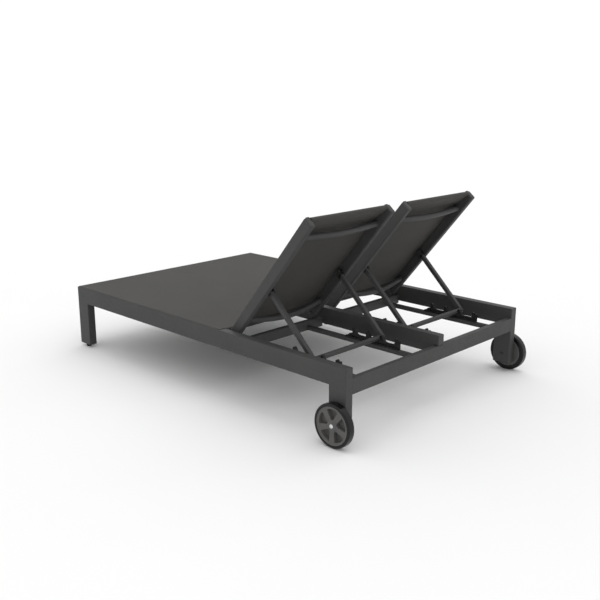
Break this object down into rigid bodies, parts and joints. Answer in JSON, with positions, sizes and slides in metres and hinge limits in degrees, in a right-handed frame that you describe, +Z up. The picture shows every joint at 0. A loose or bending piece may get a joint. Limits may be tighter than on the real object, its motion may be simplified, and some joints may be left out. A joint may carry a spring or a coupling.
{
  "type": "reclining double sun lounger",
  "caption": "Wide reclining sun lounger: slatless powder-coated tube bed with sling seats, propped sling backrests side by side, block legs at the foot and wheels at the head.",
  "frame": {"origin": "on the ground, under the middle of the whole object", "axes": "+Y towards the head end (wheels), -Y towards the foot end, +Z up, +X towards the left half for someone lying on it"},
  "size_m": [1.401, 2.054, 0.9182],
  "materials": {
    "frame_coat": "satin",
    "sling": "matte",
    "black_nylon": "satin",
    "tyre": "matte",
    "hub_plastic": "satin",
    "axle_chrome": "polished",
    "dark_steel": "satin"
  },
  "bodies": {
    "bed_frame": {"centre_rail": "frame_coat", "foot_rail": "frame_coat", "head_rail": "frame_coat", "left_axle_bolt": "axle_chrome", "left_foot_glide": "black_nylon", "left_foot_leg": "frame_coat", "left_head_leg": "frame_coat", "left_hinge_beam": "frame_coat", "left_inner_hinge_pivot": "dark_steel", "left_inner_rack": "black_nylon", "left_inner_rack_bar": "frame_coat", "left_outer_hinge_pivot": "dark_steel", "left_outer_rack": "black_nylon", "left_outer_rack_bar": "frame_coat", "left_seat_brace": "frame_coat", "left_seat_rear_bar": "frame_coat", "left_seat_sling": "sling", "left_side_rail": "frame_coat", "right_axle_bolt": "axle_chrome", "right_foot_glide": "black_nylon", "right_foot_leg": "frame_coat", "right_head_leg": "frame_coat", "right_hinge_beam": "frame_coat", "right_inner_hinge_pivot": "dark_steel", "right_inner_rack": "black_nylon", "right_inner_rack_bar": "frame_coat", "right_outer_hinge_pivot": "dark_steel", "right_outer_rack": "black_nylon", "right_outer_rack_bar": "frame_coat", "right_seat_brace": "frame_coat", "right_seat_rear_bar": "frame_coat", "right_seat_sling": "sling", "right_side_rail": "frame_coat"},
    "left_backrest": {"left_back_inner_rail": "frame_coat", "left_back_lower_brace": "frame_coat", "left_back_outer_rail": "frame_coat", "left_back_sling": "sling", "left_back_top_bar": "frame_coat", "left_back_upper_brace": "frame_coat", "left_inner_prop_bracket": "dark_steel", "left_outer_prop_bracket": "dark_steel"},
    "right_backrest": {"right_back_inner_rail": "frame_coat", "right_back_lower_brace": "frame_coat", "right_back_outer_rail": "frame_coat", "right_back_sling": "sling", "right_back_top_bar": "frame_coat", "right_back_upper_brace": "frame_coat", "right_inner_prop_bracket": "dark_steel", "right_outer_prop_bracket": "dark_steel"},
    "left_prop": {"left_inner_strut": "frame_coat", "left_outer_strut": "frame_coat", "left_prop_crossbar": "frame_coat"},
    "right_prop": {"right_inner_strut": "frame_coat", "right_outer_strut": "frame_coat", "right_prop_crossbar": "frame_coat"},
    "left_wheel": {"left_hub": "hub_plastic", "left_tyre": "tyre"},
    "right_wheel": {"right_hub": "hub_plastic", "right_tyre": "tyre"}
  },
  "joints": [
    {"name": "left_recline", "type": "hinge", "parent": "bed_frame", "child": "left_backrest", "pos_m": [0.3275, 0.227, 0.3175], "axis": [1, 0, 0], "range_deg": [-50.4, 20.8]},
    {"name": "right_recline", "type": "hinge", "parent": "bed_frame", "child": "right_backrest", "pos_m": [-0.3275, 0.227, 0.3175], "axis": [1, 0, 0], "range_deg": [-50.4, 20.8]},
    {"name": "left_prop_swing", "type": "hinge", "parent": "left_backrest", "child": "left_prop", "pos_m": [0.3275, 0.44646, 0.54749], "axis": [1, 0, 0], "range_deg": [-38.4, 92.8]},
    {"name": "right_prop_swing", "type": "hinge", "parent": "right_backrest", "child": "right_prop", "pos_m": [-0.3275, 0.44646, 0.54749], "axis": [1, 0, 0], "range_deg": [-38.4, 92.8]},
    {"name": "left_wheel_spin", "type": "hinge", "parent": "bed_frame", "child": "left_wheel", "pos_m": [0.68, 0.93, 0.097], "axis": [1, 0, 0], "continuous": true},
    {"name": "right_wheel_spin", "type": "hinge", "parent": "bed_frame", "child": "right_wheel", "pos_m": [-0.68, 0.93, 0.097], "axis": [1, 0, 0], "continuous": true}
  ],
  "couplings": [
    {"joint": "left_prop_swing", "follows": "left_recline", "ratio": -1.8386},
    {"joint": "right_prop_swing", "follows": "right_recline", "ratio": -1.8386}
  ]
}
